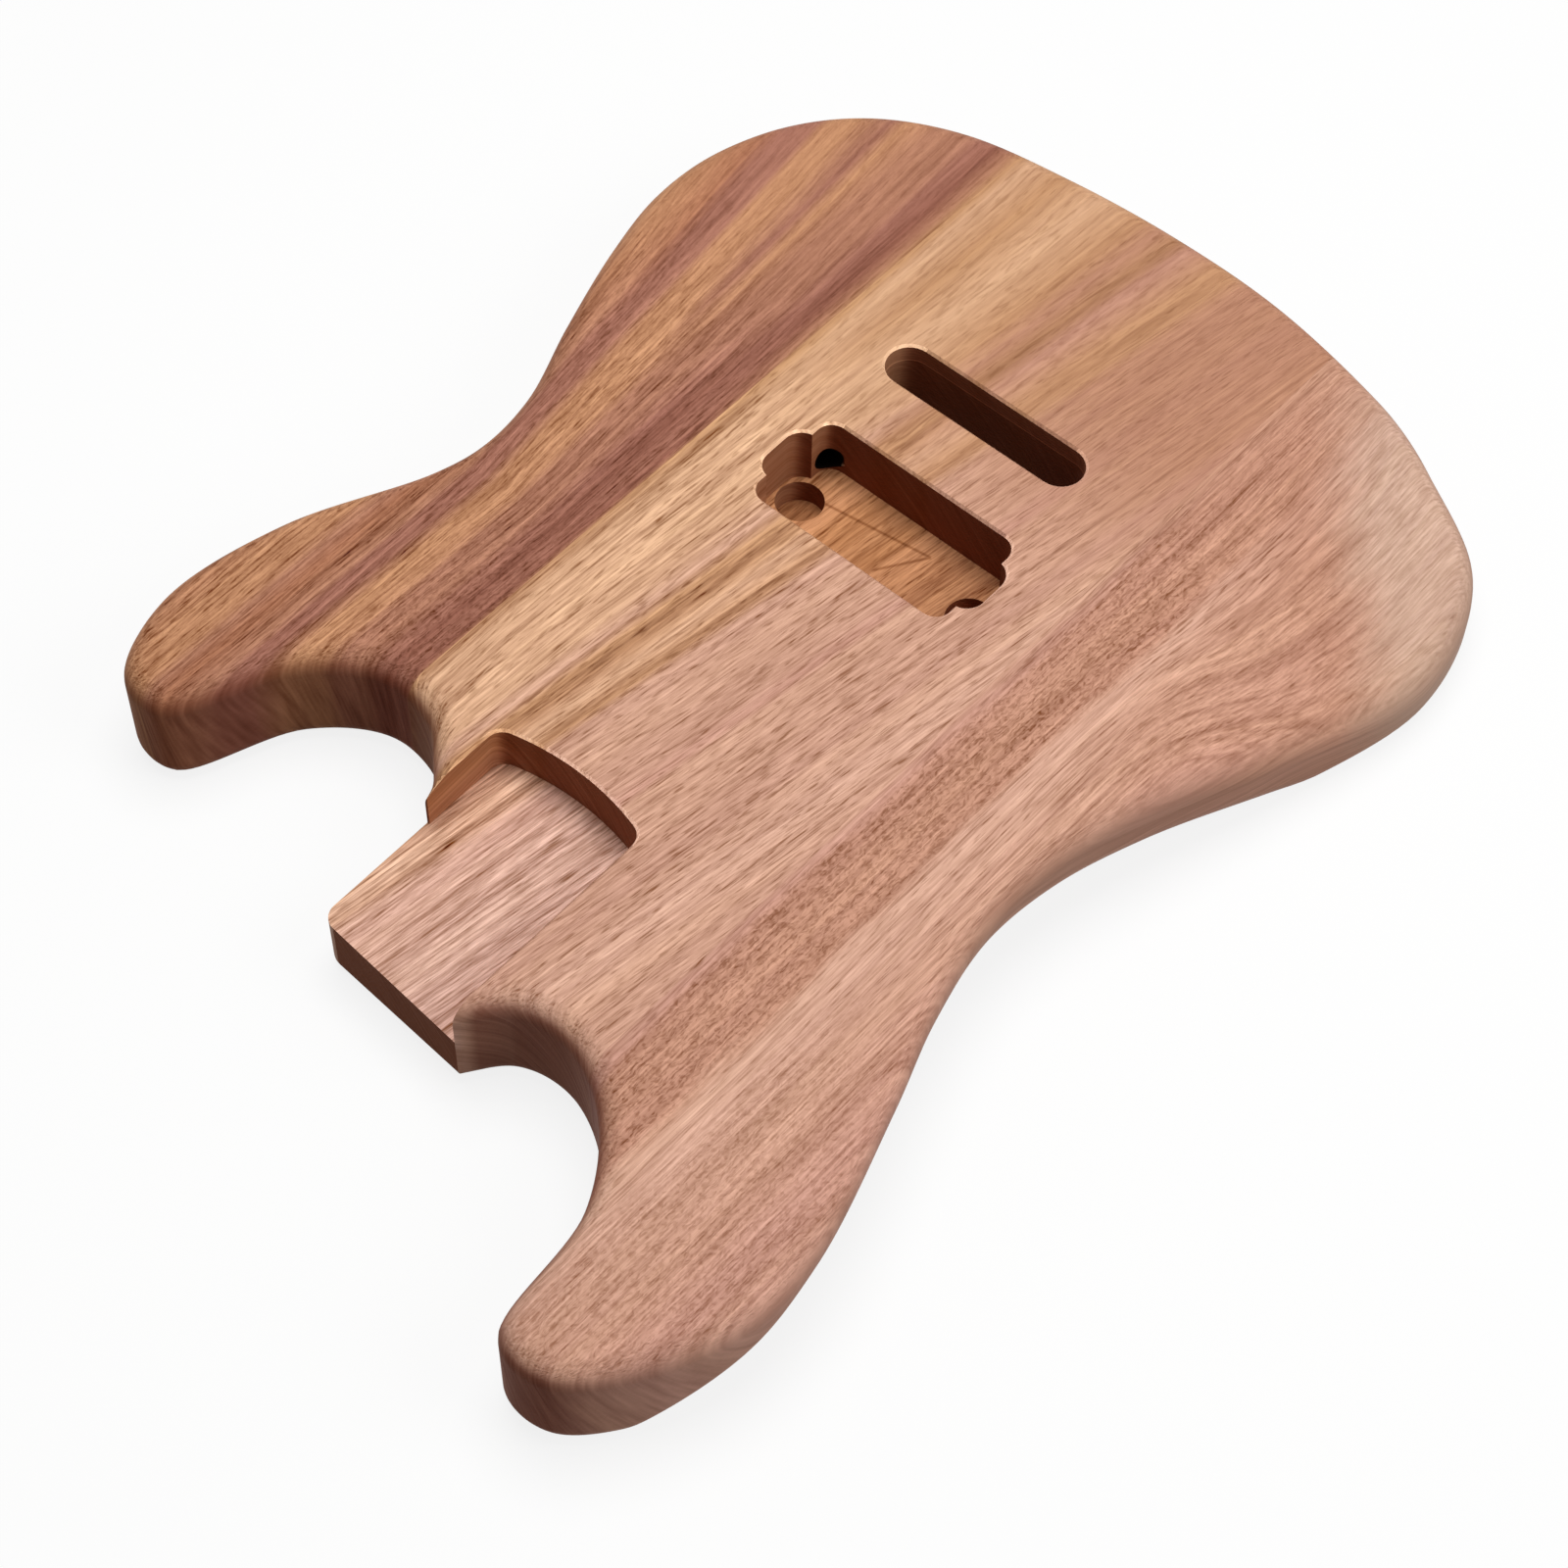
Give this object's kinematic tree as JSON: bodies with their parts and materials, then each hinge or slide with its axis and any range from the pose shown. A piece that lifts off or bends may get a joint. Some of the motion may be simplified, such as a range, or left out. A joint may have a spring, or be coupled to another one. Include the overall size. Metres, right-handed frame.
{
  "type": "electric guitar body",
  "caption": "Solid-wood offset-horn electric guitar body in bare wood, edge-glued boards, with neck pocket, pickup cavity, tremolo slot and rear cavities.",
  "frame": {"origin": "middle of the outline's bounding box, on the back face", "axes": "+Z through the thickness from the back face to the front face, +Y along the body towards the neck, +X towards the treble side"},
  "size_m": [0.2948, 0.4256, 0.04],
  "materials": {
    "bass_side_board": "bare sanded wood with open pores",
    "centre_board": "bare sanded wood with open pores",
    "treble_side_board": "bare sanded wood with open pores"
  },
  "bodies": {
    "root": {"bass_side_board": "bass_side_board", "centre_board": "centre_board", "treble_side_board": "treble_side_board"}
  },
  "joints": []
}
